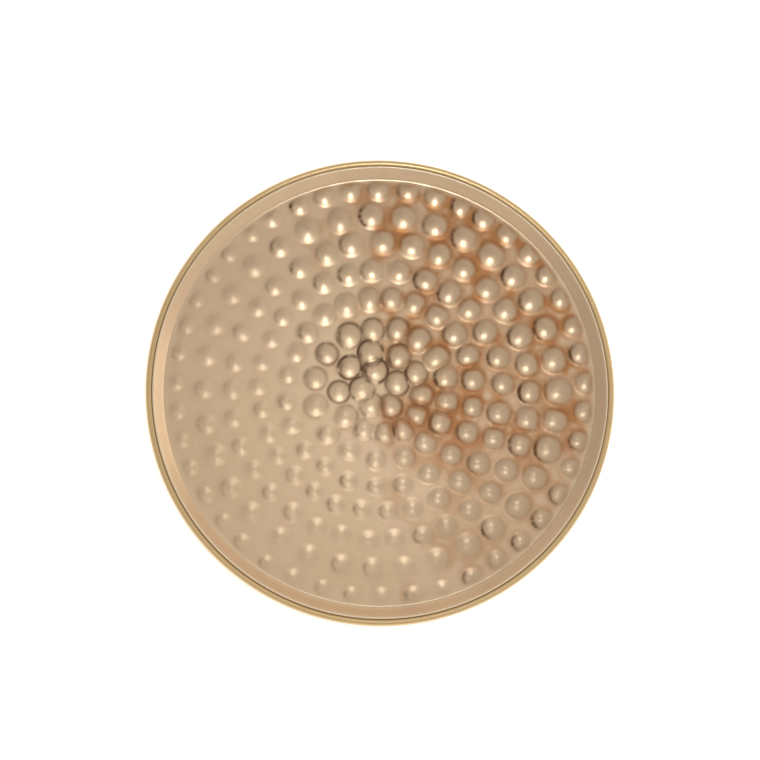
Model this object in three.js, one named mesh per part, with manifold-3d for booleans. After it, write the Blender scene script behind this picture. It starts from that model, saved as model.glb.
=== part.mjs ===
// Round hammered brass tray: a satin brass pan punched all over from below, a polished
// brass hoop rolled over its lip, the core wire inside the roll, and four felt feet.
// Millimetres, +Z up, origin on the table under the middle of the tray.

import * as THREE from "three";
import Module from "manifold-3d";
import { mergeVertices } from "three/addons/utils/BufferGeometryUtils.js";

const wasm = await Module();
wasm.setup();

// ---- driving dimensions --------------------------------------------------------------

const TRAY_DIAMETER = 300;
const RIM_HEIGHT = 10.8;
const RIM_WIDTH = 5.1;
const WALL_RUN = 7.9;
const WALL_LEAN = 46;
const COVE_RADIUS = 2.5;
const LEDGE_DROP = 1.1;
const LEDGE_WIDTH = 3.2;
const SHEET = 1;
const STRIP = 0.7;
const WIRE_DIAMETER = 3;
const FOOT_DIAMETER = 20;
const FOOT_THICKNESS = 3;
const FOOT_RING_RADIUS = 104;
const FOOT_COUNT = 4;
const CONTACT_GAP = 0.3;
const ROUND_STEPS = 60;
const MERGE_DISTANCE = 0.001;

// The punching. A light blow's pearl is narrower and lower than a hard one's. WANDER is how
// far the hand runs ahead of even spacing, and the slips are how unevenly it works.
const PUNCH_DIAMETER = 15.5;
const PEARL_HEIGHT = 1.9;
const BUMP_ROOT = 0.3;
const HARD_SIDE = 30;
const LIGHT_WIDTH = 0.84;
const LIGHT_HEIGHT = 0.35;
const RING_TURN = 137.5;
const WANDER = 5;
const MOST_WANDER = 0.2;
const BLOW_SLIP = 0.06;
const RING_SLIP = 0.9;
const SIZE_SLIP = 0.07;

// ---- worked out from them ------------------------------------------------------------

const trayRadius = TRAY_DIAMETER / 2;
const floorUnder = FOOT_THICKNESS + CONTACT_GAP;
const floorTop = floorUnder + SHEET;
const lipRadius = trayRadius - RIM_WIDTH;
const floorRadius = lipRadius - WALL_RUN;
const lipTop = RIM_HEIGHT - 0.1;
const ledgeTop = lipTop - LEDGE_DROP;
const ledgeRadius = lipRadius + LEDGE_WIDTH;
const wireRadius = WIRE_DIAMETER / 2;

// ---- pearls: one row per ring of punch blows, from the rim to the middle ---------------
// sag: how far the ring's centre lies towards -Y. size: blow size against the punch's
// diameter.

const pearlRings = [
  { radius: 131.5, count: 44, sag: 0, size: 0.92 },
  { radius: 114, count: 34, sag: 0, size: 1.12 },
  { radius: 96, count: 33, sag: 0, size: 1.02 },
  { radius: 78, count: 29, sag: 0, size: 1 },
  { radius: 60.5, count: 23, sag: 1, size: 0.98 },
  { radius: 42.5, count: 16, sag: 2.5, size: 1.04 },
  { radius: 26.5, count: 11, sag: 2.5, size: 1.04 },
  { radius: 12, count: 5, sag: 0, size: 1.04 },
];

// A number between -1 and 1 that looks like a hand's unevenness and is the same every time.
function unevenness(index) {
  const wave = Math.sin(index * 12.9898) * 43758.5453;
  return (wave - Math.floor(wave)) * 2 - 1;
}

// How hard the blows fell, from 0 to 1: hardest towards +X and a little +Y.
function blowForce(x, y) {
  const hardSide = THREE.MathUtils.degToRad(HARD_SIDE);
  const along = (x * Math.cos(hardSide) + y * Math.sin(hardSide)) / trayRadius;
  return THREE.MathUtils.smoothstep(along, -0.4, 0.45);
}

// Which way the blow at a step of a ring lies from the ring's centre. The hand runs ahead of
// even spacing on one side of the ring and falls behind it on the other.
function blowTurn(ring, ringNumber, step, index) {
  const pitch = (2 * Math.PI) / ring.count;
  const start = THREE.MathUtils.degToRad(RING_TURN) * ringNumber;
  const wander = Math.min(WANDER / ring.radius, MOST_WANDER);
  const slip = BLOW_SLIP * pitch * unevenness(index + 200);
  return start + pitch * step + wander * Math.cos(pitch * step - start) + slip;
}

function pearlLayout() {
  const pearls = [];
  for (const [ringNumber, ring] of pearlRings.entries()) {
    for (let step = 0; step < ring.count; step += 1) {
      const index = pearls.length + 1;
      const turn = blowTurn(ring, ringNumber, step, index);
      const radius = ring.radius + RING_SLIP * unevenness(index);
      const x = radius * Math.cos(turn);
      const y = radius * Math.sin(turn) - ring.sag;
      const size = ring.size * (1 + SIZE_SLIP * unevenness(index + 500));
      const force = blowForce(x, y);
      pearls.push({
        x,
        y,
        turn,
        radius: (PUNCH_DIAMETER / 2) * size * THREE.MathUtils.lerp(LIGHT_WIDTH, 1, force),
        height: PEARL_HEIGHT * size * THREE.MathUtils.lerp(LIGHT_HEIGHT, 1, force),
      });
    }
  }
  return pearls;
}

// ---- geometry helpers ----------------------------------------------------------------

function arcPoints(centre, radius, fromDegrees, toDegrees, steps) {
  const points = [];
  for (let step = 0; step <= steps; step += 1) {
    const share = step / steps;
    const angle = THREE.MathUtils.degToRad(fromDegrees + (toDegrees - fromDegrees) * share);
    const across = centre.x + radius * Math.cos(angle);
    points.push(new THREE.Vector2(across, centre.y + radius * Math.sin(angle)));
  }
  return points;
}

// The geometry with shared corners, and without the faces that shrink to a line on an axis.
function closed(geometry) {
  const bare = geometry.clone();
  bare.deleteAttribute("normal");
  bare.deleteAttribute("uv");
  const merged = mergeVertices(bare, MERGE_DISTANCE);
  const corners = merged.index.array;
  const kept = [];
  for (let start = 0; start < corners.length; start += 3) {
    const [a, b, c] = corners.slice(start, start + 3);
    if (a !== b && b !== c && c !== a) kept.push(a, b, c);
  }
  merged.setIndex(kept);
  merged.computeVertexNormals();
  return merged;
}

// A closed outline in (radius, height), clockwise seen with +Z up, spun about the Z axis.
function spun(outline, steps) {
  const geometry = closed(new THREE.LatheGeometry(outline, steps));
  geometry.rotateX(Math.PI / 2);
  return geometry;
}

function toSolid(geometry) {
  const vertProperties = new Float32Array(geometry.attributes.position.array);
  const triVerts = new Uint32Array(geometry.index.array);
  return new wasm.Manifold(new wasm.Mesh({ numProp: 3, vertProperties, triVerts }));
}

function toGeometry(solid) {
  const mesh = solid.getMesh();
  const geometry = new THREE.BufferGeometry();
  geometry.setAttribute("position", new THREE.BufferAttribute(mesh.vertProperties, 3));
  geometry.setIndex(new THREE.BufferAttribute(mesh.triVerts, 1));
  geometry.computeVertexNormals();
  return geometry;
}

// A faceted bump that stands on z = 0 and starts just below it. Its crown is flat, or a
// point where crownRadius is 0.
function bump(sides, footRadius, crownRadius, height) {
  const outline = [new THREE.Vector2(0, -BUMP_ROOT)];
  outline.push(new THREE.Vector2(footRadius, -BUMP_ROOT));
  outline.push(new THREE.Vector2(crownRadius, height));
  if (crownRadius > 0) outline.push(new THREE.Vector2(0, height));
  return spun(outline, sides);
}

// ---- pieces --------------------------------------------------------------------------

// The sheet's outline: floor, coved wall, rounded lip, and the ledge that the hoop clasps.
function panOutline() {
  const coveCentre = new THREE.Vector2(floorRadius, floorTop + COVE_RADIUS);
  const inside = arcPoints(coveCentre, COVE_RADIUS, -90, -WALL_LEAN, 3);
  const outside = arcPoints(coveCentre, COVE_RADIUS + SHEET, -WALL_LEAN, -90, 3);
  const outline = [new THREE.Vector2(0, floorUnder)];
  outline.push(...outside.reverse());
  outline.push(new THREE.Vector2(lipRadius - 0.2, ledgeTop - SHEET));
  outline.push(new THREE.Vector2(ledgeRadius, ledgeTop - SHEET));
  outline.push(new THREE.Vector2(ledgeRadius, ledgeTop));
  outline.push(new THREE.Vector2(lipRadius + 0.8, ledgeTop));
  outline.push(new THREE.Vector2(lipRadius + 0.5, lipTop - 0.3));
  outline.push(new THREE.Vector2(lipRadius, lipTop));
  outline.push(new THREE.Vector2(lipRadius - 0.5, lipTop - 0.4));
  outline.push(...inside.reverse());
  outline.push(new THREE.Vector2(0, floorTop));
  return outline;
}

function hammeredPan() {
  const bumps = [];
  const hollows = [];
  for (const pearl of pearlLayout()) {
    const top = bump(5, pearl.radius * 0.9, pearl.radius * 0.45, pearl.height);
    top.rotateZ(pearl.turn);
    top.translate(pearl.x, pearl.y, floorTop);
    bumps.push(toSolid(top));
    const under = bump(4, pearl.radius * 0.95, 0, pearl.height);
    under.rotateZ(pearl.turn);
    under.translate(pearl.x, pearl.y, floorUnder);
    hollows.push(toSolid(under));
  }
  const sheet = toSolid(spun(panOutline(), ROUND_STEPS));
  const raised = wasm.Manifold.union([sheet, ...bumps]);
  return toGeometry(raised.subtract(wasm.Manifold.union(hollows)));
}

// The hoop is a strip rolled over the ledge: open on its inner side, below the lip.
function rimBand() {
  const t = STRIP;
  const r = trayRadius;
  const topUnder = ledgeTop + CONTACT_GAP;
  const outer = [
    new THREE.Vector2(lipRadius + 1.1, topUnder + 0.6),
    new THREE.Vector2(r - 2.2, RIM_HEIGHT - 0.15),
    new THREE.Vector2(r - 1, RIM_HEIGHT - 0.9),
    new THREE.Vector2(r - 0.3, RIM_HEIGHT - 2.3),
    new THREE.Vector2(r, RIM_HEIGHT - 4),
    new THREE.Vector2(r, RIM_HEIGHT - 7),
    new THREE.Vector2(r - 0.4, RIM_HEIGHT - 8.2),
    new THREE.Vector2(r - 1.4, RIM_HEIGHT - 8.8),
    new THREE.Vector2(r - 3.4, RIM_HEIGHT - 8.9),
  ];
  const inner = [
    new THREE.Vector2(r - 3.4, RIM_HEIGHT - 8.9 + t),
    new THREE.Vector2(r - 1.6, RIM_HEIGHT - 8.8 + t),
    new THREE.Vector2(r - 0.4 - t, RIM_HEIGHT - 7.8),
    new THREE.Vector2(r - t, RIM_HEIGHT - 6.8),
    new THREE.Vector2(r - t, RIM_HEIGHT - 4),
    new THREE.Vector2(r - 0.3 - t, RIM_HEIGHT - 2.3),
    new THREE.Vector2(r - 1.4, topUnder),
    new THREE.Vector2(lipRadius + 1.1, topUnder),
  ];
  return spun([...outer, ...inner, outer[0]].reverse(), ROUND_STEPS);
}

function rimWire() {
  const centre = new THREE.Vector2(trayRadius - 2.6, ledgeTop - SHEET - CONTACT_GAP - wireRadius);
  const section = arcPoints(centre, wireRadius, 0, 360, 8);
  section[section.length - 1] = section[0].clone();
  return spun(section, ROUND_STEPS);
}

function feltFoot() {
  const foot = new THREE.CylinderGeometry(FOOT_DIAMETER / 2, FOOT_DIAMETER / 2, FOOT_THICKNESS, 24);
  foot.rotateX(Math.PI / 2);
  foot.translate(0, 0, FOOT_THICKNESS / 2);
  return foot;
}

// ---- finishes ------------------------------------------------------------------------

function satinBrass() {
  return new THREE.MeshStandardMaterial({ color: 0xd2b184, roughness: 0.38, metalness: 1 });
}

function polishedBrass() {
  return new THREE.MeshStandardMaterial({ color: 0xc8a262, roughness: 0.22, metalness: 1 });
}

function wireBrass() {
  return new THREE.MeshStandardMaterial({ color: 0xb48a50, roughness: 0.45, metalness: 1 });
}

function darkFelt() {
  return new THREE.MeshStandardMaterial({ color: 0x4a4038, roughness: 0.95, metalness: 0 });
}

// ---- assembly ------------------------------------------------------------------------

function named(name, geometry, material) {
  const mesh = new THREE.Mesh(geometry, material);
  mesh.name = name;
  return mesh;
}

const tray = new THREE.Group();
tray.add(named("hammered_pan", hammeredPan(), satinBrass()));
tray.add(named("rim_band", rimBand(), polishedBrass()));
tray.add(named("rim_wire", rimWire(), wireBrass()));
for (let index = 0; index < FOOT_COUNT; index += 1) {
  const foot = named(`felt_foot_${index + 1}`, feltFoot(), darkFelt());
  const turn = THREE.MathUtils.degToRad(45) + (2 * Math.PI * index) / FOOT_COUNT;
  foot.position.set(FOOT_RING_RADIUS * Math.cos(turn), FOOT_RING_RADIUS * Math.sin(turn), 0);
  tray.add(foot);
}

export default tray;
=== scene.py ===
import math

import bpy
import numpy as np
from mathutils import Matrix, Vector


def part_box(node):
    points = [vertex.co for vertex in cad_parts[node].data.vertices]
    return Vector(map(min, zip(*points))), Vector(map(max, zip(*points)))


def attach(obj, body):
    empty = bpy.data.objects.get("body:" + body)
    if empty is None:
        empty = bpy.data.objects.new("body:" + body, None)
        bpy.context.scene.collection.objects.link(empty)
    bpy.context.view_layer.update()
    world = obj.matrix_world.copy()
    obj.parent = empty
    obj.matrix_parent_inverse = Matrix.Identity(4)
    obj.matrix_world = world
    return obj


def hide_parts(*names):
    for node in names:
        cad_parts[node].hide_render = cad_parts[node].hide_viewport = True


# A round hammered brass tray: a punched satin pan, a polished rolled rim with its core
# wire, and four felt feet, on a pale floor under soft studio light. Metres, +Z up.

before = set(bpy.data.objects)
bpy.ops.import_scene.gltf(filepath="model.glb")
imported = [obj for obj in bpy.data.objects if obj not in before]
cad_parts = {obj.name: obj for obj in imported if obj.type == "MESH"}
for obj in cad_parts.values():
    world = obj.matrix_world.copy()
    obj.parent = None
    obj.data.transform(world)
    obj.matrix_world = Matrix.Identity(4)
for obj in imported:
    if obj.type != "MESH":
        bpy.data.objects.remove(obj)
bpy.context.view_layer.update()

MM = 0.001

# ---- sizes, worked out from the frame ------------------------------------------------

pan_low, pan_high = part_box("hammered_pan")
band_low, band_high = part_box("rim_band")
wire_low, wire_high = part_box("rim_wire")

TRAY_RADIUS = band_high.x
SHEET = 1.0 * MM
FLOOR_UNDER = pan_low.z
FLOOR_TOP = FLOOR_UNDER + SHEET
FLOOR_RADIUS = TRAY_RADIUS - 13.0 * MM
COVE_RADIUS = 3.0 * MM
WALL_LEAN = 46.5
LIP_RADIUS = TRAY_RADIUS - 5.1 * MM
LIP_TOP = pan_high.z
LIP_ROUND = 0.5 * MM
LEDGE_DROP = 1.1 * MM
LEDGE_RADIUS = pan_high.x
PUNCH_RADIUS = 7.75 * MM
PEARL_HEIGHT = 1.9 * MM
FLOOR_CELLS = 400
UNDER_CELLS = 200
RIM_STEPS = 480
PLATE_WARP = 0.08 * MM

# ---- pearls: one row per ring of punch blows, from the rim to the middle -------------
# sag: how far the ring's centre lies towards -Y. size: blow size against the punch. soft:
# how gently a pearl's foot runs out into the floor. line: how dark the painted shade line
# round its foot is.

RING_KEYS = ("radius", "count", "sag", "size", "soft", "line")
RINGS = (
    (131.5, 44, 0.0, 0.92, 1.45, 0.0),
    (114.0, 34, 0.0, 1.12, 1.45, 0.0),
    (96.0, 33, 0.0, 1.02, 1.4, 0.0),
    (78.0, 29, 0.0, 1.00, 1.4, 0.2),
    (60.5, 23, 1.0, 0.98, 1.35, 0.6),
    (42.5, 16, 2.5, 1.04, 1.2, 1.2),
    (26.5, 11, 2.5, 1.04, 1.1, 1.3),
    (12.0, 5, 0.0, 1.04, 1.1, 1.3),
)

# A light blow's pearl is narrower and lower than a hard one's. WANDER is how far the hand
# runs ahead of even spacing, and the slips are how unevenly it works.

HARD_SIDE = 30
LIGHT_WIDTH = 0.84
LIGHT_HEIGHT = 0.35
LIGHT_SOFT = 1.6
RING_TURN = 137.5
WANDER = 5.0
MOST_WANDER = 0.2
BLOW_SLIP = 0.06
RING_SLIP = 0.9
SIZE_SLIP = 0.07
STRETCH_SLIP = 0.05

# A pearl's foot and the painted shade and reflection on and beside it. Those without MM are
# shares of the pearl's own radius, measured out from its crown. A crescent of painted shade
# lies on each pearl's side away from the direction set below, in degrees.

FOOT_SHARE = 0.88
NEAR_SHARE = 2.2
CROWD_AT = 1.12
CROWD_WIDTH = 0.30
LINE_AT = 1.04
LINE_WIDTH = 1.1 * MM
CROWN_REFLECTION_SHIFT = 0.1
CROWN_REFLECTION_WIDTH = 0.3
SHADE_AWAY_FROM = 15
SIDE_SHADE_WIDTH = 1.2 * MM
PEARL_JOINT = 0.35 * MM
CREASE_WIDTH = 0.22 * MM
CREASE_RISE = 0.3 * MM
LINE_RISE = 1.4 * MM


def unevenness(index):
    """A number between -1 and 1 that looks like a hand's unevenness, the same every time."""
    wave = math.sin(index * 12.9898) * 43758.5453
    return (wave - math.floor(wave)) * 2 - 1


def between(low, high, share):
    """The value that lies a share of the way from low to high."""
    return low + (high - low) * share


def blow_force(x, y):
    """How hard the blows fell, from 0 to 1: hardest towards +X and a little +Y."""
    hard_side = math.radians(HARD_SIDE)
    along = (x * math.cos(hard_side) + y * math.sin(hard_side)) / TRAY_RADIUS
    share = min(max((along + 0.4) / 0.85, 0.0), 1.0)
    return share * share * (3 - 2 * share)


def blow_turn(ring, number, step, index):
    """Which way a blow lies from its ring's centre: the hand runs ahead of even spacing on
    one side of the ring and falls behind it on the other."""
    pitch = 2 * math.pi / ring["count"]
    start = math.radians(RING_TURN) * number
    wander = min(WANDER / ring["radius"], MOST_WANDER)
    slip = BLOW_SLIP * pitch * unevenness(index + 200)
    return start + pitch * step + wander * math.cos(pitch * step - start) + slip


def line_share(x, y):
    """How dark the painted shade lines round the pearls are: most a little left of the middle."""
    away = math.hypot(x + 10 * MM, y - 16 * MM) / (36 * MM)
    return math.exp(-away * away)


def pearl_layout():
    """Where each punch blow landed, and how wide and high its pearl stands."""
    pearls = []
    for number, row in enumerate(RINGS):
        ring = dict(zip(RING_KEYS, row))
        for step in range(ring["count"]):
            index = len(pearls) + 1
            turn = blow_turn(ring, number, step, index)
            radius = (ring["radius"] + RING_SLIP * unevenness(index)) * MM
            x = radius * math.cos(turn)
            y = radius * math.sin(turn) - ring["sag"] * MM
            size = ring["size"] * (1 + SIZE_SLIP * unevenness(index + 500))
            force = blow_force(x, y)
            pearls.append({
                "x": x,
                "y": y,
                "turn": turn,
                "radius": PUNCH_RADIUS * size * between(LIGHT_WIDTH, 1, force),
                "height": PEARL_HEIGHT * size * between(LIGHT_HEIGHT, 1, force),
                "soft": ring["soft"] * between(LIGHT_SOFT, 1, force),
                "line": ring["line"] * line_share(x, y),
                "painted_side_shade": max(unevenness(index + 300) + 0.3, 0.0) * between(0.35, 1, force),
                "side_shade_reach": between(0.72, 0.92, force),
            })
    return pearls


def pearl_field(x, y, pearls):
    """Height of the punched field over the floor, how crowded it is, and where the painted shade
    lines, the painted dark reflection on the crowns and the crescents of painted shade go."""
    best = np.zeros_like(x)
    second = np.zeros_like(x)
    crowd = np.zeros_like(x)
    line = np.zeros_like(x)
    crown_reflection = np.zeros_like(x)
    painted_side_shade = np.zeros_like(x)
    away_from_shade = (math.cos(math.radians(SHADE_AWAY_FROM)), math.sin(math.radians(SHADE_AWAY_FROM)))
    for index, pearl in enumerate(pearls):
        dx, dy = x - pearl["x"], y - pearl["y"]
        near = np.nonzero(np.hypot(dx, dy) < NEAR_SHARE * pearl["radius"])
        cos, sin = math.cos(pearl["turn"]), math.sin(pearl["turn"])
        out = dx[near] * cos + dy[near] * sin
        across = -dx[near] * sin + dy[near] * cos
        stretch = 1.0 + STRETCH_SLIP * unevenness(index + 900)
        reach = np.hypot(out / stretch, across * stretch) / pearl["radius"]
        lobe = np.clip(1 - (reach * FOOT_SHARE) ** 2, 0, None) ** pearl["soft"]
        height = pearl["height"] * lobe
        second[near] = np.maximum(second[near], np.minimum(best[near], height))
        best[near] = np.maximum(best[near], height)
        crowd[near] += np.exp(-((reach - CROWD_AT) / CROWD_WIDTH) ** 2)
        ring = np.exp(-((reach - LINE_AT) * pearl["radius"] / LINE_WIDTH) ** 2)
        line[near] = np.maximum(line[near], pearl["line"] * ring)
        # Painted reflection: a dark spot on each crown, shifted a little towards +Y.
        off = np.hypot(dx[near], dy[near] - CROWN_REFLECTION_SHIFT * pearl["radius"]) / pearl["radius"]
        crown_reflection[near] = np.maximum(crown_reflection[near], np.exp(-(off / CROWN_REFLECTION_WIDTH) ** 2))
        # Painted shade: a crescent on each pearl's side away from the set direction.
        away = np.maximum(off * pearl["radius"], MM)
        facing = -(dx[near] * away_from_shade[0] + dy[near] * away_from_shade[1]) / away
        crescent = np.exp(-((reach - pearl["side_shade_reach"]) * pearl["radius"] / SIDE_SHADE_WIDTH) ** 2)
        shaded_side = np.clip(facing, 0, 1) ** 1.5 * crescent
        painted_side_shade[near] = np.maximum(painted_side_shade[near], pearl["painted_side_shade"] * shaded_side)
    blend = np.clip(0.5 + 0.5 * (best - second) / PEARL_JOINT, 0, 1)
    height = best + PEARL_JOINT * blend * (1 - blend) * (second > 0)
    # Painted shade lines: where two pearls meet, and round the pearls' feet near the middle.
    meeting = np.exp(-((best - second) / CREASE_WIDTH) ** 2) * np.clip(second / CREASE_RISE, 0, 1)
    low = np.clip(1 - best / LINE_RISE, 0, 1)
    crease = np.minimum(np.maximum(meeting, line * low), 1)
    return height, crowd, crease, crown_reflection, painted_side_shade


def plate_warp(x, y):
    """The slow unevenness of a sheet that has been beaten all over."""
    u, v = x / TRAY_RADIUS, y / TRAY_RADIUS
    wave = np.sin(7.1 * u + 2.3 * v + 0.4) + np.sin(5.3 * v - 6.2 * u + 1.7)
    wave += 0.7 * np.sin(13.7 * u + 4.9 * v) + 0.7 * np.sin(11.9 * v - 3.1 * u + 2.2)
    fade = np.clip((FLOOR_RADIUS - np.hypot(x, y)) / (6 * MM), 0, 1)
    return PLATE_WARP * wave * fade


# ---- mesh helpers --------------------------------------------------------------------


def disc_points(cells, radius):
    """A square grid squeezed onto a disc, so that its cells stay even out to the edge."""
    steps = np.linspace(-1, 1, cells + 1)
    a, b = np.meshgrid(steps, steps, indexing="ij")
    wide = np.abs(a) > np.abs(b)
    tall = ~wide & (np.abs(b) > 0)
    reach = np.zeros_like(a)
    turn = np.zeros_like(a)
    reach[wide] = a[wide]
    turn[wide] = math.pi / 4 * b[wide] / a[wide]
    reach[tall] = b[tall]
    turn[tall] = math.pi / 2 - math.pi / 4 * a[tall] / b[tall]
    return radius * reach * np.cos(turn), radius * reach * np.sin(turn)


def disc_faces(cells, first, flip):
    """Quads of that grid, whose corners are numbered from first."""
    i, j = np.meshgrid(np.arange(cells), np.arange(cells), indexing="ij")
    corner = first + i * (cells + 1) + j
    corners = [corner, corner + cells + 1, corner + cells + 2, corner + 1]
    quads = np.stack(corners, -1).reshape(-1, 4)
    return quads[:, ::-1] if flip else quads


def disc_edge(cells, first):
    """The grid's outermost corners in order round the disc, from -45 degrees."""
    n = cells + 1
    right = [(cells, j) for j in range(cells)]
    top = [(cells - i, cells) for i in range(cells)]
    left = [(0, cells - j) for j in range(cells)]
    bottom = [(i, 0) for i in range(cells)]
    return np.array([first + i * n + j for i, j in right + top + left + bottom])


def ring_points(radius, height, count):
    """Points round a circle, in step with disc_edge."""
    turn = -math.pi / 4 + 2 * math.pi * np.arange(count) / count
    return np.stack([radius * np.cos(turn), radius * np.sin(turn), np.full(count, height)], -1)


def band_faces(inner, outer):
    """Quads between two rings with the same count; they face up when outer is the wider one."""
    return np.stack([inner, outer, np.roll(outer, -1), np.roll(inner, -1)], -1)


def arc(centre, radius, start, end, steps):
    """Points (across, up) of an arc, in degrees."""
    turns = np.radians(np.linspace(start, end, steps + 1))
    return [(centre[0] + radius * math.cos(t), centre[1] + radius * math.sin(t)) for t in turns]


def new_object(name, points, faces):
    """A smooth-shaded mesh in the scene."""
    mesh = bpy.data.meshes.new(name)
    mesh.from_pydata([tuple(p) for p in points], [], [tuple(int(c) for c in f) for f in faces])
    mesh.validate()
    mesh.shade_smooth()
    made = bpy.data.objects.new(name, mesh)
    bpy.context.scene.collection.objects.link(made)
    return made


def set_values(made, name, values):
    """A number for each point, for the material to read."""
    attribute = made.data.attributes.new(name, "FLOAT", "POINT")
    attribute.data.foreach_set("value", np.asarray(values, np.float32))


def spun(name, outline, steps):
    """A closed outline (across, up), counter-clockwise, spun about the Z axis."""
    count = len(outline)
    turns = 2 * math.pi * np.arange(steps) / steps
    points = [(r * math.cos(t), r * math.sin(t), z) for t in turns for r, z in outline]
    faces = []
    for step in range(steps):
        here, there = step * count, (step + 1) % steps * count
        for k in range(count):
            after = (k + 1) % count
            faces.append((here + k, there + k, there + after, here + after))
    return new_object(name, points, faces)


# ---- the pan -------------------------------------------------------------------------


def pan_upper_outline():
    """The sheet's upper face from the floor's edge: cove, wall, rounded lip, ledge."""
    ledge = LIP_TOP - LEDGE_DROP
    back = 0.25 * MM
    path = arc((FLOOR_RADIUS, FLOOR_TOP + COVE_RADIUS), COVE_RADIUS, -90, -WALL_LEAN, 10)[1:]
    lip = arc((LIP_RADIUS - 0.1 * MM, LIP_TOP - LIP_ROUND), LIP_ROUND, 180 - WALL_LEAN, 90, 5)
    lip += arc((LIP_RADIUS + 0.4 * MM, LIP_TOP - back), back, 80, 0, 4)
    foot, top = path[-1], lip[0]
    for share in (0.25, 0.5, 0.75):
        path.append((foot[0] + share * (top[0] - foot[0]), foot[1] + share * (top[1] - foot[1])))
    path += lip
    path.append((LIP_RADIUS + 0.7 * MM, ledge + 0.15 * MM))
    path.append((LIP_RADIUS + 0.85 * MM, ledge))
    path.append((LEDGE_RADIUS, ledge))
    return path


def pan_under_outline():
    """The sheet's lower face, from the ledge's edge back to the floor's edge."""
    ledge = LIP_TOP - LEDGE_DROP
    path = [(LEDGE_RADIUS, ledge - SHEET), (LIP_RADIUS + 0.3 * MM, ledge - SHEET)]
    centre = (FLOOR_RADIUS, FLOOR_TOP + COVE_RADIUS)
    path += arc(centre, COVE_RADIUS + SHEET, -WALL_LEAN, -90, 8)[:-1]
    return path


def stitch(fine, coarse):
    """Triangles between a ring and one of half its count; the coarse ring is below it."""
    faces = []
    count = len(coarse)
    for k in range(count):
        after = (k + 1) % count
        left, middle, right = fine[2 * k], fine[2 * k + 1], fine[2 * after]
        faces.append((left, coarse[k], middle))
        faces.append((middle, coarse[k], coarse[after]))
        faces.append((middle, coarse[after], right))
    return faces


def make_pan():
    """The punched floor, then ring by ring up over the wall and back under to the floor."""
    pearls = pearl_layout()
    x, y = (grid.ravel() for grid in disc_points(FLOOR_CELLS, FLOOR_RADIUS))
    points = [np.stack([x, y, np.full(len(x), FLOOR_TOP)], -1)]
    faces = [tuple(f) for f in disc_faces(FLOOR_CELLS, 0, False)]
    total = len(x)
    ring = disc_edge(FLOOR_CELLS, 0)
    for across, up in pan_upper_outline():
        points.append(ring_points(across, up, len(ring)))
        wider = total + np.arange(len(ring))
        faces += [tuple(f) for f in band_faces(ring, wider)]
        total += len(ring)
        ring = wider
    upper = np.concatenate(points)
    reach = np.hypot(upper[:, 0], upper[:, 1])
    height, crowd, crease, crown_reflection, painted_side_shade = pearl_field(upper[:, 0], upper[:, 1], pearls)
    fade = np.clip((FLOOR_RADIUS + MM - reach) / (5 * MM), 0, 1)
    fade = fade * fade * (3 - 2 * fade)
    height, crowd, crease = height * fade, crowd * fade, crease * fade
    # Where the painted highlight along the lip's flat top goes.
    edge = np.clip((upper[:, 2] - LIP_TOP) / (0.15 * MM) + 1, 0, 1)
    upper[:, 2] += height + plate_warp(upper[:, 0], upper[:, 1])
    coarse = None
    under = []
    for across, up in pan_under_outline():
        count = 4 * UNDER_CELLS
        under.append(ring_points(across, up, count))
        narrower = total + np.arange(count)
        if coarse is None:
            faces += stitch(ring, narrower)
        else:
            faces += [tuple(f) for f in band_faces(coarse, narrower)]
        total += count
        coarse = narrower
    ux, uy = (grid.ravel() for grid in disc_points(UNDER_CELLS, FLOOR_RADIUS))
    under_height = pearl_field(ux, uy, pearls)[0]
    under.append(np.stack([ux, uy, FLOOR_UNDER + 0.96 * under_height + plate_warp(ux, uy)], -1))
    faces += [tuple(f) for f in band_faces(coarse, disc_edge(UNDER_CELLS, total))]
    faces += [tuple(f) for f in disc_faces(UNDER_CELLS, total, True)]
    under = np.concatenate(under)
    pan = new_object("pan_punched", np.concatenate([upper, under]), faces)
    values = {
        "rise": height / PEARL_HEIGHT,
        "crowd": crowd,
        "crease": crease,
        "crown_reflection": crown_reflection,
        "painted_side_shade": painted_side_shade * fade,
        "edge": edge,
    }
    for name, given in values.items():
        set_values(pan, name, np.concatenate([given, np.zeros(len(under))]))
    return pan


# ---- rim, wire and feet --------------------------------------------------------------


def band_outline():
    """The rolled strip: outer skin from its inner edge over the crown and down to the hem."""
    strip = 0.7 * MM
    crown_reach = 2.3 * MM
    crown_drop = 3.8 * MM
    crown_power = 0.8
    hem_reach = 1.6 * MM
    hem_rise = 2.0 * MM
    hem_width = 3.4 * MM
    shoulder = band_high.z - crown_drop
    skin = [(LIP_RADIUS + 0.95 * MM, band_high.z - 0.25 * MM)]
    for turn in np.radians(np.linspace(90, 0, 15)):
        bulge = max(math.cos(turn), 0.0) ** crown_power
        across = TRAY_RADIUS - crown_reach + crown_reach * bulge
        skin.append((across, shoulder + crown_drop * math.sin(turn) ** crown_power))
    for turn in np.radians(np.linspace(0, -90, 9)):
        across = TRAY_RADIUS - hem_reach + hem_reach * math.cos(turn)
        skin.append((across, band_low.z + hem_rise + hem_rise * math.sin(turn)))
    skin.append((TRAY_RADIUS - hem_width, band_low.z))
    lining = []
    for k, point in enumerate(skin):
        before, after = skin[max(k - 1, 0)], skin[min(k + 1, len(skin) - 1)]
        run, drop = after[0] - before[0], after[1] - before[1]
        length = math.hypot(run, drop)
        lining.append((point[0] + strip * drop / length, point[1] - strip * run / length))
    return (skin + lining[::-1])[::-1]


def make_band():
    return spun("rim_band_polished", band_outline(), RIM_STEPS)


def make_wire():
    middle = (wire_low.z + wire_high.z) / 2
    thick = (wire_high.z - wire_low.z) / 2
    centre = (wire_high.x - thick, middle)
    return spun("rim_wire_drawn", arc(centre, thick, 0, 360, 16)[:-1], 240)


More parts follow.
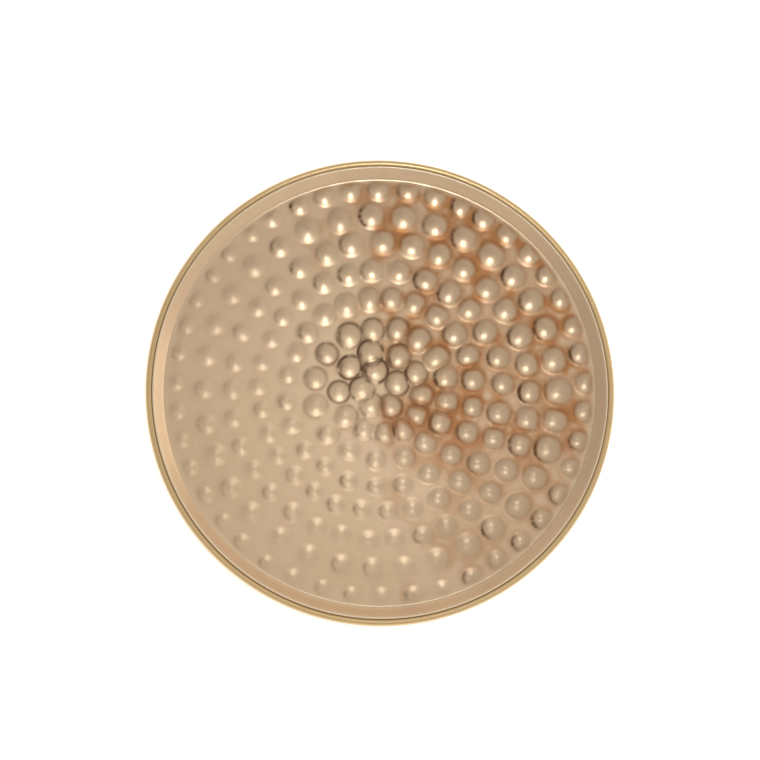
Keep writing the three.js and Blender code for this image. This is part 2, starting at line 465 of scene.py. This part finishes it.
def make_foot(node):
    """A felt disc with soft, slightly ragged edges."""
    low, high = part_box(node)
    middle = (low + high) / 2
    radius = (high.x - low.x) / 2
    edge = 0.35 * MM
    outline = [(0.0, low.z), (radius * 0.5, low.z), (radius - edge, low.z)]
    outline += arc((radius - edge, low.z + edge), edge, -60, 0, 2)
    outline += arc((radius - edge, high.z - edge), edge, 0, 90, 3)
    outline += [(radius * 0.5, high.z), (0.0, high.z)]
    steps = 96
    fray = 0.006
    points = []
    faces = []
    count = len(outline) - 2
    for step in range(steps):
        turn = 2 * math.pi * step / steps
        for k, (across, up) in enumerate(outline[1:-1]):
            ragged = 1 + fray * unevenness(step * 17 + k * 5) * (across > 0.8 * radius)
            reach = min(across * ragged, radius)
            x = middle.x + reach * math.cos(turn)
            y = middle.y + reach * math.sin(turn)
            points.append((x, y, up))
    bottom, top = len(points), len(points) + 1
    points += [(middle.x, middle.y, low.z), (middle.x, middle.y, high.z)]
    for step in range(steps):
        here, there = step * count, (step + 1) % steps * count
        faces.append((bottom, there, here))
        faces.append((top, here + count - 1, there + count - 1))
        for k in range(count - 1):
            faces.append((here + k, there + k, there + k + 1, here + k + 1))
    return new_object(node.replace("felt_foot", "foot_felt"), points, faces)


# ---- material helpers ----------------------------------------------------------------


class Nodes:
    """Short names for building one material's node tree."""

    def __init__(self, name):
        self.material = bpy.data.materials.new(name)
        self.material.use_nodes = True
        self.tree = self.material.node_tree
        self.shader = self.tree.nodes["Principled BSDF"]

    def link(self, source, target):
        self.tree.links.new(source, target)

    def value(self, socket, given):
        if isinstance(given, (int, float)):
            socket.default_value = given
        else:
            self.link(given, socket)

    def math(self, kind, a, b=0.0, clamp=False):
        node = self.tree.nodes.new("ShaderNodeMath")
        node.operation = kind
        node.use_clamp = clamp
        self.value(node.inputs[0], a)
        self.value(node.inputs[1], b)
        return node.outputs[0]

    def ramp(self, given, low, high):
        """0 below low, 1 above high, smooth between."""
        node = self.tree.nodes.new("ShaderNodeMapRange")
        node.interpolation_type = "SMOOTHSTEP"
        self.value(node.inputs["Value"], given)
        node.inputs["From Min"].default_value = low
        node.inputs["From Max"].default_value = high
        return node.outputs["Result"]

    def coordinates(self):
        return self.tree.nodes.new("ShaderNodeTexCoord").outputs["Object"]

    def split(self, vector):
        node = self.tree.nodes.new("ShaderNodeSeparateXYZ")
        self.link(vector, node.inputs[0])
        return node.outputs

    def join(self, x, y, z):
        node = self.tree.nodes.new("ShaderNodeCombineXYZ")
        for socket, given in zip(node.inputs, (x, y, z)):
            self.value(socket, given)
        return node.outputs[0]

    def noise(self, vector, scale, detail=2.0, roughness=0.5):
        node = self.tree.nodes.new("ShaderNodeTexNoise")
        self.link(vector, node.inputs["Vector"])
        node.inputs["Scale"].default_value = scale
        node.inputs["Detail"].default_value = detail
        node.inputs["Roughness"].default_value = roughness
        return node.outputs["Fac"]

    def mix(self, share, first, second):
        """A colour between two, each a linear RGB triple or a socket."""
        node = self.tree.nodes.new("ShaderNodeMix")
        node.data_type = "RGBA"
        self.value(node.inputs["Factor"], share)
        for socket, given in ((node.inputs[6], first), (node.inputs[7], second)):
            if isinstance(given, tuple):
                socket.default_value = (*given, 1.0)
            else:
                self.link(given, socket)
        return node.outputs[2]

    def attribute(self, name):
        node = self.tree.nodes.new("ShaderNodeAttribute")
        node.attribute_name = name
        return node.outputs["Fac"]

    def bump(self, height, strength, distance):
        node = self.tree.nodes.new("ShaderNodeBump")
        node.inputs["Strength"].default_value = strength
        node.inputs["Distance"].default_value = distance
        self.link(height, node.inputs["Height"])
        return node.outputs["Normal"]

    def set(self, **values):
        for name, given in values.items():
            socket = self.shader.inputs[name.replace("_", " ")]
            if isinstance(given, tuple):
                socket.default_value = (*given, 1.0)
            else:
                self.value(socket, given)


def round_coordinates(n):
    """Coordinates that follow the rim: direction from the axis, then distance and height."""
    x, y, z = n.split(n.coordinates())
    reach = n.math("SQRT", n.math("ADD", n.math("MULTIPLY", x, x), n.math("MULTIPLY", y, y)))
    safe = n.math("MAXIMUM", reach, 0.001)
    return n.math("DIVIDE", x, safe), n.math("DIVIDE", y, safe), reach, z


# ---- materials, in linear colours ----------------------------------------------------

SATIN_DEEP = (0.77, 0.56, 0.355)
SATIN_PALE = (0.83, 0.615, 0.395)
SATIN_EVEN = (0.80, 0.58, 0.38)
# Painted reflection: a warmer, darker tone over the +X half.
WARM_SIDE_REFLECTION = (0.66, 0.47, 0.30)
# Amber patina in the hollows, laid on mostly as a painted amber reflection towards +X.
AMBER = (0.50, 0.225, 0.09)
# Painted shade in crescents beside the pearls.
SIDE_SHADE = (0.15, 0.075, 0.035)
# Painted shade in the creases between pearls.
CREASE_SHADE = (0.12, 0.06, 0.03)
# Painted dark reflection on the crowns.
CROWN_REFLECTION_DARK = (0.35, 0.22, 0.13)
# Painted highlight along the lip.
LIP_HIGHLIGHT = (0.95, 0.78, 0.54)
POLISHED_DEEP = (0.73, 0.51, 0.25)
POLISHED_PALE = (0.81, 0.58, 0.31)
WIRE_CLEAN = (0.50, 0.33, 0.14)
WIRE_TARNISHED = (0.25, 0.15, 0.07)
FELT_DARK = (0.045, 0.034, 0.027)
FELT_FLECK = (0.11, 0.088, 0.070)
STUDIO_DEEP = (0.86, 0.86, 0.855)
STUDIO_PALE = (0.88, 0.88, 0.875)


def satin_brass():
    """Pale satin brass with a little amber patina in every hollow. Over it lie a painted amber
    reflection in the hollows towards +X, where the blows are deepest, a painted warm, darker
    reflection over the +X half, painted shade in dark lines round the pearls near the middle and
    in crescents beside them, a painted dark reflection on the crowns and a painted highlight
    along the lip."""
    n = Nodes("satin_brass")
    place = n.coordinates()
    x, y, _ = n.split(place)
    rise = n.attribute("rise")
    cloud = n.noise(place, 28, 3)
    slow = n.noise(place, 11, 2)
    speck = n.noise(place, 210, 4, 0.65)
    patch = n.noise(place, 55, 3)
    low = n.math("SUBTRACT", 1.0, n.ramp(rise, 0.25, 1.1))
    valley = n.math("MULTIPLY", low, n.ramp(n.attribute("crowd"), -0.2, 1.1))
    # A little amber patina fills every hollow; the rest is a painted amber reflection in the
    # hollows towards +X, weaker towards -Y, in patches.
    along = n.math("ADD", n.math("MULTIPLY", x, 0.98), n.math("MULTIPLY", y, 0.2))
    ragged = n.math("MULTIPLY", n.math("SUBTRACT", cloud, 0.5), 0.2)
    side = n.ramp(n.math("ADD", along, ragged), -0.02, 0.05)
    front = n.math("ADD", 0.35, n.math("MULTIPLY", n.ramp(y, -0.085, -0.015), 0.65))
    amber_patches = n.math("ADD", 0.35, n.math("MULTIPLY", n.ramp(patch, 0.38, 0.6), 0.65))
    amber = n.math("MULTIPLY", n.math("MULTIPLY", side, front), amber_patches)
    amber = n.math("MULTIPLY", valley, n.math("ADD", 0.08, n.math("MULTIPLY", amber, 0.92)))
    base = n.mix(cloud, SATIN_DEEP, SATIN_PALE)
    base = n.mix(n.ramp(slow, 0.35, 0.65), base, SATIN_EVEN)
    # Painted warm, darker reflection over the +X half of the pan.
    base = n.mix(n.math("MULTIPLY", side, 0.45), base, WARM_SIDE_REFLECTION)
    base = n.mix(amber, base, AMBER)
    specks = n.math("ADD", 0.5, n.ramp(speck, 0.35, 0.65))
    # Painted shade: dark speckled crescents on one side of each pearl.
    darkening = n.math("MULTIPLY", n.attribute("painted_side_shade"), specks, True)
    base = n.mix(n.math("MULTIPLY", darkening, 0.95), base, SIDE_SHADE)
    # Painted shade, broken up, in the creases where pearls meet and round their feet near the
    # middle.
    broken = n.ramp(n.noise(place, 90, 2), 0.32, 0.52)
    dark = n.math("MULTIPLY", n.attribute("crease"), broken)
    base = n.mix(n.math("MULTIPLY", dark, 0.95), base, CREASE_SHADE)
    # Painted reflection: a soft dark spot on each crown, in patches.
    crown_darkening = n.math("MULTIPLY", n.attribute("crown_reflection"), n.ramp(patch, 0.45, 0.65))
    base = n.mix(n.math("MULTIPLY", crown_darkening, 0.22), base, CROWN_REFLECTION_DARK)
    # Painted highlight: a pale line along the lip's flat top.
    base = n.mix(n.attribute("edge"), base, LIP_HIGHLIGHT)
    streak = n.join(n.math("MULTIPLY", x, 40), n.math("MULTIPLY", y, 1500), 0.0)
    satin = n.noise(streak, 1.0, 3, 0.6)
    rough = n.math("ADD", 0.25, n.math("MULTIPLY", cloud, 0.05))
    rough = n.math("ADD", rough, n.math("MULTIPLY", satin, 0.03))
    rough = n.math("ADD", rough, n.math("MULTIPLY", amber, 0.12))
    normal = n.bump(satin, 0.02, 0.0001)
    n.set(Base_Color=base, Metallic=1.0, Roughness=rough, Normal=normal)
    return n.material


def polished_brass():
    """Yellower polished brass with fine lines that run round the rim."""
    n = Nodes("polished_brass")
    dx, dy, reach, _ = round_coordinates(n)
    across = n.math("MULTIPLY", reach, 1500)
    along = n.join(n.math("MULTIPLY", dx, 6), n.math("MULTIPLY", dy, 6), across)
    lines = n.noise(along, 1.0, 3, 0.6)
    cloud = n.noise(n.coordinates(), 20, 3)
    base = n.mix(cloud, POLISHED_DEEP, POLISHED_PALE)
    rough = n.math("ADD", 0.28, n.math("MULTIPLY", lines, 0.05))
    n.set(Base_Color=base, Metallic=1.0, Roughness=rough)
    return n.material


def wire_brass():
    """Dull drawn wire with die lines along it."""
    n = Nodes("wire_brass")
    dx, dy, _, z = round_coordinates(n)
    across = n.math("MULTIPLY", z, 6000)
    along = n.join(n.math("MULTIPLY", dx, 4), n.math("MULTIPLY", dy, 4), across)
    lines = n.noise(along, 1.0, 2)
    darkening = n.noise(n.coordinates(), 60, 4)
    base = n.mix(n.ramp(darkening, 0.35, 0.7), WIRE_CLEAN, WIRE_TARNISHED)
    rough = n.math("ADD", 0.35, n.math("MULTIPLY", darkening, 0.25))
    n.set(Base_Color=base, Metallic=1.0, Roughness=rough, Normal=n.bump(lines, 0.2, 0.0002))
    return n.material


def pressed_felt():
    """Dark brown wool felt."""
    n = Nodes("pressed_felt")
    place = n.coordinates()
    fibre = n.noise(place, 1400, 5, 0.7)
    fleck = n.noise(place, 420, 3)
    base = n.mix(fleck, FELT_DARK, FELT_FLECK)
    n.set(Base_Color=base, Roughness=0.95, Normal=n.bump(fibre, 0.7, 0.0006))
    return n.material


def studio_floor():
    n = Nodes("studio_floor")
    place = n.coordinates()
    base = n.mix(n.noise(place, 3, 2), STUDIO_DEEP, STUDIO_PALE)
    n.set(Base_Color=base, Roughness=0.9, Emission_Color=base, Emission_Strength=0.68)
    return n.material


# ---- stage, light and camera ---------------------------------------------------------

# Levels are brightnesses. The ceiling begins and the person's outline fades between two
# values of the up direction and of the cosine from the person's middle. PERSON_LEAN is
# how far from straight up the person stands, and PERSON_SIDE which way, in degrees.

WALL_LEVEL = 0.80
CEILING_LEVEL = 0.56
CEILING_FROM = 0.36
CEILING_FULL = 0.62
PERSON_LEAN = 36.0
PERSON_SIDE = 125.0
PERSON_LEVEL = 0.78
PERSON_FROM = 0.89
PERSON_FULL = 0.97
FAR_SIDE_LEVEL = 0.74
WORLD_TINT = (1.0, 0.98, 0.96, 1.0)
STRIP_TINT = (0.88, 0.96, 1.0)

CAMERA_DISTANCE = 1.15
CAMERA_TILT = 8.0
CAMERA_SIDE = 250.0
CAMERA_AIM = (-0.006 * TRAY_RADIUS, 0.038 * TRAY_RADIUS, LIP_TOP)
VIEW_WIDTH = 3.232 * TRAY_RADIUS


def make_floor():
    size = 4.0
    corners = [(-size, -size, 0), (size, -size, 0), (size, size, 0), (-size, size, 0)]
    floor = new_object("studio_sweep", corners, [(0, 1, 2, 3)])
    floor.data.materials.append(studio_floor())


def softbox(name, place, aim, width, length, radiance, spread=180, colour=(1, 1, 1)):
    """An area light given by how bright its face is. A grid in front narrows its spread."""
    narrowed = 1.0 if spread == 180 else math.tan(math.radians(spread / 2)) ** 2 / 3
    lamp = bpy.data.lights.new(name, "AREA")
    lamp.shape = "RECTANGLE"
    lamp.size = width
    lamp.size_y = length
    lamp.energy = radiance * math.pi * width * length * narrowed
    lamp.color = colour
    lamp.spread = math.radians(spread)
    made = bpy.data.objects.new(name, lamp)
    made.location = place
    made.rotation_euler = (Vector(aim) - Vector(place)).to_track_quat("-Z", "Y").to_euler()
    made.visible_camera = False
    bpy.context.scene.collection.objects.link(made)


def world_ramp(tree, given, low, high, at_low, at_high):
    """One value below low and another above high, smooth between."""
    node = tree.nodes.new("ShaderNodeMapRange")
    node.interpolation_type = "SMOOTHSTEP"
    tree.links.new(given, node.inputs["Value"])
    node.inputs["From Min"].default_value = low
    node.inputs["From Max"].default_value = high
    node.inputs["To Min"].default_value = at_low
    node.inputs["To Max"].default_value = at_high
    return node.outputs["Result"]


def make_world():
    """A room with white walls and a dimmer ceiling, with someone standing back left."""
    world = bpy.data.worlds.new("studio")
    world.use_nodes = True
    tree = world.node_tree
    background = tree.nodes["Background"]
    direction = tree.nodes.new("ShaderNodeTexCoord").outputs["Generated"]
    split = tree.nodes.new("ShaderNodeSeparateXYZ")
    tree.links.new(direction, split.inputs[0])
    room = world_ramp(tree, split.outputs["Z"], CEILING_FROM, CEILING_FULL,
                      WALL_LEVEL, CEILING_LEVEL)
    lean, side = math.radians(PERSON_LEAN), math.radians(PERSON_SIDE)
    towards = (math.sin(lean) * math.cos(side), math.sin(lean) * math.sin(side), math.cos(lean))
    near = tree.nodes.new("ShaderNodeVectorMath")
    near.operation = "DOT_PRODUCT"
    tree.links.new(direction, near.inputs[0])
    near.inputs[1].default_value = towards
    person = world_ramp(tree, near.outputs["Value"], PERSON_FROM, PERSON_FULL, 1.0, PERSON_LEVEL)
    far_side = world_ramp(tree, split.outputs["X"], -0.98, -0.6, FAR_SIDE_LEVEL, 1.0)
    level = room
    for share in (person, far_side):
        both = tree.nodes.new("ShaderNodeMath")
        both.operation = "MULTIPLY"
        tree.links.new(level, both.inputs[0])
        tree.links.new(share, both.inputs[1])
        level = both.outputs[0]
    tree.links.new(level, background.inputs["Strength"])
    background.inputs["Color"].default_value = WORLD_TINT
    bpy.context.scene.world = world


def make_lights():
    """A dim broad box overhead, two bright strips aimed across the tray, and a fill."""
    centre = (0, 0, 0)
    tint = STRIP_TINT
    softbox("overhead_softbox", (0.0, 0.1, 1.3), centre, 1.6, 1.6, 0.09)
    softbox("front_strip", (0.05, -0.13, 0.95), (0.07, 0.15, 0), 0.26, 0.18, 14.5, 26, tint)
    softbox("back_strip", (0.04, 0.22, 0.95), (0.02, -0.16, 0), 0.24, 0.13, 5.2, 22, tint)
    softbox("right_fill", (1.5, 0.3, 0.35), centre, 1.0, 0.6, 0.45)


def make_camera():
    """Almost straight above, with the tray's +X to the right of the picture."""
    aim = Vector(CAMERA_AIM)
    tilt = math.radians(CAMERA_TILT)
    side = math.radians(CAMERA_SIDE)
    lean = math.sin(tilt)
    away = Vector((lean * math.cos(side), lean * math.sin(side), math.cos(tilt)))
    lens = bpy.data.cameras.new("camera")
    lens.sensor_width = 36
    lens.lens = lens.sensor_width * CAMERA_DISTANCE / VIEW_WIDTH
    made = bpy.data.objects.new("camera", lens)
    made.location = aim + away * CAMERA_DISTANCE
    right = Vector((1, 0, 0)) - away * away.x
    right.normalize()
    up = away.cross(right)
    turn = np.array([right, up, away]).T
    made.rotation_euler = Matrix(turn.tolist()).to_euler()
    bpy.context.scene.collection.objects.link(made)
    bpy.context.scene.camera = made


# ---- assembly ------------------------------------------------------------------------


def finish_piece(piece, node, material):
    """Gives a piece its material and puts it in its CAD node's place."""
    piece.data.materials.append(material)
    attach(piece, "root")
    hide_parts(node)


make_floor()
make_world()
make_lights()
make_camera()
bpy.context.scene.view_settings.view_transform = "Standard"

finish_piece(make_pan(), "hammered_pan", satin_brass())
finish_piece(make_band(), "rim_band", polished_brass())
finish_piece(make_wire(), "rim_wire", wire_brass())
felt = pressed_felt()
for node in sorted(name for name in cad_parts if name.startswith("felt_foot")):
    finish_piece(make_foot(node), node, felt)
